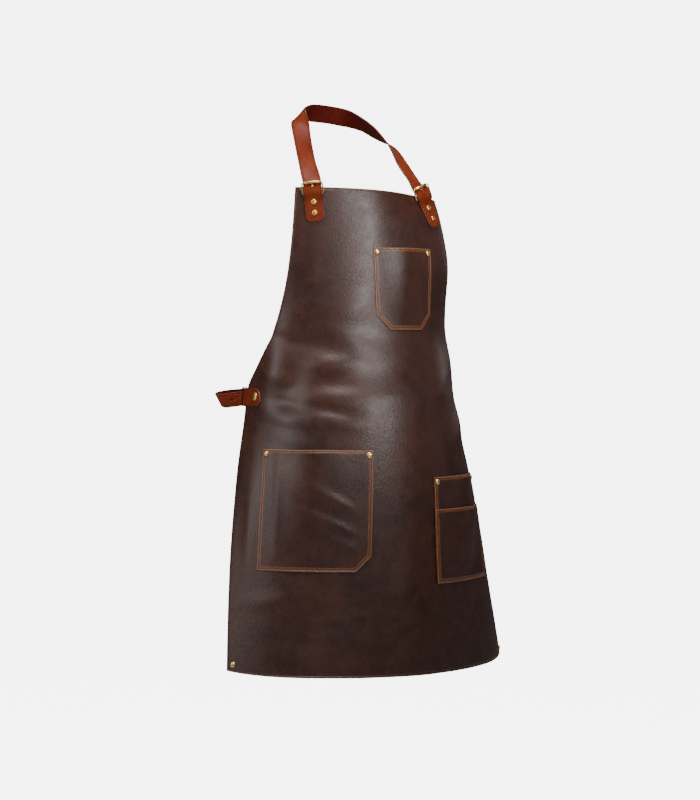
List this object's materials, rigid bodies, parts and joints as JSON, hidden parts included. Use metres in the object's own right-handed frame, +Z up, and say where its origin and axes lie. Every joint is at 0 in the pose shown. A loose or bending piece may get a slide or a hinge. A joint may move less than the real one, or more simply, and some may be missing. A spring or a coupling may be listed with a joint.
{
  "type": "leather apron",
  "caption": "Brown leather work apron in its worn form, with riveted patch pockets, a neck strap buckled at the bib's corners and a waist belt.",
  "frame": {"origin": "the place on the neck strap that rests on the back of the wearer's neck, on the apron's middle plane", "axes": "+Z up as worn, the wearer faces -Y, and +X points to the wearer's left"},
  "size_m": [0.5164, 0.3662, 0.9639],
  "materials": {
    "body_leather": "waxed, soft sheen",
    "strap_leather": "polished, burnished edges",
    "brass": "polished"
  },
  "bodies": {
    "root": {"apron_body": "body_leather", "chest_pocket": "body_leather", "hand_pocket": "body_leather", "tool_pocket": "body_leather", "tool_pocket_front": "body_leather", "neck_strap": "strap_leather", "waist_tab_right": "strap_leather", "waist_tab_left": "strap_leather", "waist_belt_right": "strap_leather", "waist_belt_left": "strap_leather", "waist_keeper_right": "strap_leather", "waist_keeper_left": "strap_leather", "waist_clasp": "brass", "neck_buckle_right": "brass", "neck_buckle_left": "brass", "neck_roller_right": "brass", "neck_roller_left": "brass", "neck_prong_right": "brass", "neck_prong_left": "brass", "chest_rivet_right": "brass", "chest_rivet_left": "brass", "hand_rivet_right": "brass", "hand_rivet_left": "brass", "tool_rivet_right": "brass", "tool_rivet_left": "brass", "hem_rivet_right": "brass", "hem_rivet_left": "brass", "waist_rivet_right": "brass", "waist_rivet_left": "brass", "strap_rivet_right_1": "brass", "strap_rivet_right_2": "brass", "strap_rivet_left_1": "brass", "strap_rivet_left_2": "brass"}
  },
  "joints": []
}
